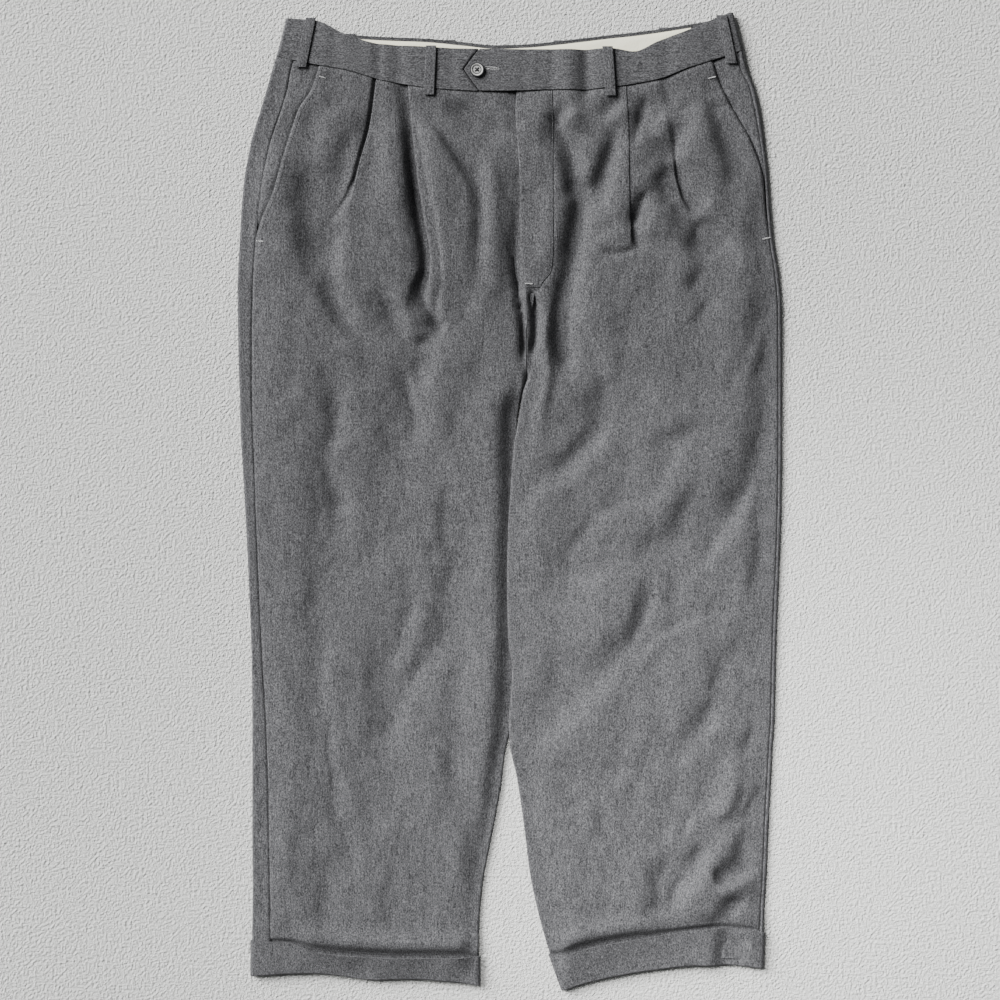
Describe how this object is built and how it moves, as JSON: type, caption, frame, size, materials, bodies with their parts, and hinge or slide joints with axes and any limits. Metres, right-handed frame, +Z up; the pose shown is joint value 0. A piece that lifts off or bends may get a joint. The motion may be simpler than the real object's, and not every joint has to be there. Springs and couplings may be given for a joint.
{
  "type": "dress trousers",
  "caption": "Pleated wool dress trousers with slant pockets, a pointed waistband tab, belt loops and turn-up cuffs, laid flat on their back with the legs slightly apart.",
  "frame": {"origin": "middle of the outline, on the surface that the trousers lie on", "axes": "+Y towards the waist, +Z up out of the front, +X towards the wearer's left leg"},
  "size_m": [0.5883, 1.0562, 0.0131],
  "materials": {
    "wool": "mid-grey heathered worsted wool, soft matt twill",
    "lining": "cream cotton, matt",
    "button": "dark grey four-hole button, satin"
  },
  "bodies": {
    "root": {"front_right": "wool", "front_left": "wool", "back_right": "wool", "back_left": "wool", "fly": "wool", "pocket_facing_right": "wool", "pocket_facing_left": "wool", "waistband_right": "wool", "waistband_left": "wool", "cuff_right": "wool", "cuff_left": "wool", "belt_loop_1": "wool", "belt_loop_2": "wool", "belt_loop_3": "wool", "belt_loop_4": "wool", "belt_loop_5": "wool", "belt_loop_6": "wool", "belt_loop_7": "wool", "belt_loop_8": "wool", "waistband_lining": "lining", "button": "button"}
  },
  "joints": []
}
